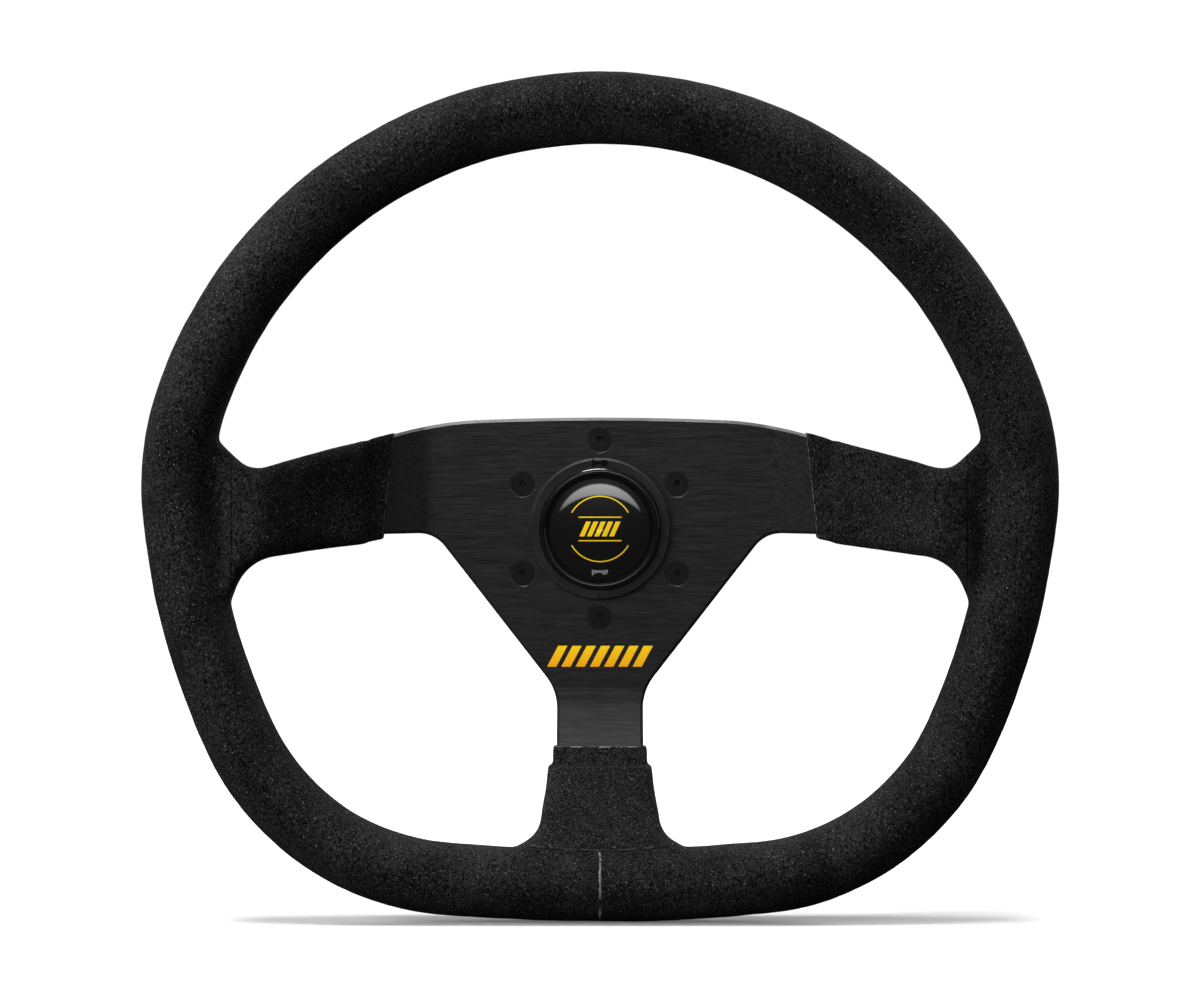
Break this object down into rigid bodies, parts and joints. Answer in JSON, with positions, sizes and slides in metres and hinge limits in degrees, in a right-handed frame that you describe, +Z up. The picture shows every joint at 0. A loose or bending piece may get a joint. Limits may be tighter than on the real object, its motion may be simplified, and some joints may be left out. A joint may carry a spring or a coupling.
{
  "type": "quick release steering wheel",
  "caption": "Dished three-spoke suede steering wheel with a flat-sided grip, a horn button and a splined ball-lock quick release hub with a pull-back collar.",
  "frame": {"origin": "on the steering axis where the hub's socket bore begins, behind its lead-in chamfer", "axes": "+X to the driver's right, +Y away from the driver along the steering axis, +Z up"},
  "size_m": [0.3502, 0.12, 0.3243],
  "materials": {
    "black_anodised": "black anodised aluminium plate with a fine brushed grain",
    "yellow_enamel": "yellow enamel let into the plate",
    "plain_aluminium": "plain bent tube, hidden in the grip",
    "grip_foam": "moulded foam, hidden under the suede",
    "black_suede": "black suede with a short nap",
    "black_steel": "black oxide steel screws",
    "machined_aluminium": "turned aluminium, clear anodised",
    "black_anodised_collar": "turned aluminium, black anodised",
    "hardened_steel": "broached and hardened steel",
    "spring_steel": "spring steel",
    "ball_steel": "polished bearing steel",
    "matte_black_plastic": "matt black moulded plastic",
    "contact_brass": "stamped brass",
    "gloss_black_plastic": "gloss black moulded plastic",
    "gloss_badge": "domed clear resin over a black and yellow print"
  },
  "bodies": {
    "wheel": {"spoke_plate": "black_anodised", "spoke_inlay": "yellow_enamel", "rim_core_tube": "plain_aluminium", "rim_foam": "grip_foam", "rim_wrap": "black_suede", "right_spoke_sleeve": "black_suede", "left_spoke_sleeve": "black_suede", "bottom_spoke_sleeve": "black_suede", "wheel_screws": "black_steel", "hub_body": "machined_aluminium", "spline_sleeve": "hardened_steel", "sleeve_lock_ring": "hardened_steel", "collar_circlip": "spring_steel", "collar_spring": "spring_steel", "horn_bezel": "matte_black_plastic", "horn_cup": "matte_black_plastic", "fixed_contact": "contact_brass", "return_contact": "contact_brass", "horn_spring": "spring_steel"},
    "collar": {"release_collar": "black_anodised_collar"},
    "ball_1": {"lock_ball_1": "ball_steel"},
    "ball_2": {"lock_ball_2": "ball_steel"},
    "ball_3": {"lock_ball_3": "ball_steel"},
    "ball_4": {"lock_ball_4": "ball_steel"},
    "ball_5": {"lock_ball_5": "ball_steel"},
    "ball_6": {"lock_ball_6": "ball_steel"},
    "button": {"horn_cap": "gloss_black_plastic", "button_badge": "gloss_badge", "moving_contact": "contact_brass", "stem_clip": "spring_steel"}
  },
  "joints": [
    {"name": "collar_pull", "type": "slide", "parent": "wheel", "child": "collar", "axis": [0, -1, 0], "range_m": [0, 0.006], "stiffness_N_per_m": 1500, "springref_m": -0.01, "deforming": ["collar_spring"]},
    {"name": "ball_1_lift", "type": "slide", "parent": "wheel", "child": "ball_1", "axis": [1, 0, 0], "range_m": [0, 0.0021]},
    {"name": "ball_2_lift", "type": "slide", "parent": "wheel", "child": "ball_2", "axis": [0.5, 0, 0.866], "range_m": [0, 0.0021]},
    {"name": "ball_3_lift", "type": "slide", "parent": "wheel", "child": "ball_3", "axis": [-0.5, 0, 0.866], "range_m": [0, 0.0021]},
    {"name": "ball_4_lift", "type": "slide", "parent": "wheel", "child": "ball_4", "axis": [-1, 0, 0], "range_m": [0, 0.0021]},
    {"name": "ball_5_lift", "type": "slide", "parent": "wheel", "child": "ball_5", "axis": [-0.5, 0, -0.866], "range_m": [0, 0.0021]},
    {"name": "ball_6_lift", "type": "slide", "parent": "wheel", "child": "ball_6", "axis": [0.5, 0, -0.866], "range_m": [0, 0.0021]},
    {"name": "horn_press", "type": "slide", "parent": "wheel", "child": "button", "axis": [0, 1, 0], "range_m": [0, 0.002], "stiffness_N_per_m": 2000, "springref_m": -0.002, "deforming": ["horn_spring"]}
  ],
  "couplings": [
    {"joint": "ball_1_lift", "follows": "collar_pull", "ratio": 0.35},
    {"joint": "ball_2_lift", "follows": "collar_pull", "ratio": 0.35},
    {"joint": "ball_3_lift", "follows": "collar_pull", "ratio": 0.35},
    {"joint": "ball_4_lift", "follows": "collar_pull", "ratio": 0.35},
    {"joint": "ball_5_lift", "follows": "collar_pull", "ratio": 0.35},
    {"joint": "ball_6_lift", "follows": "collar_pull", "ratio": 0.35}
  ]
}
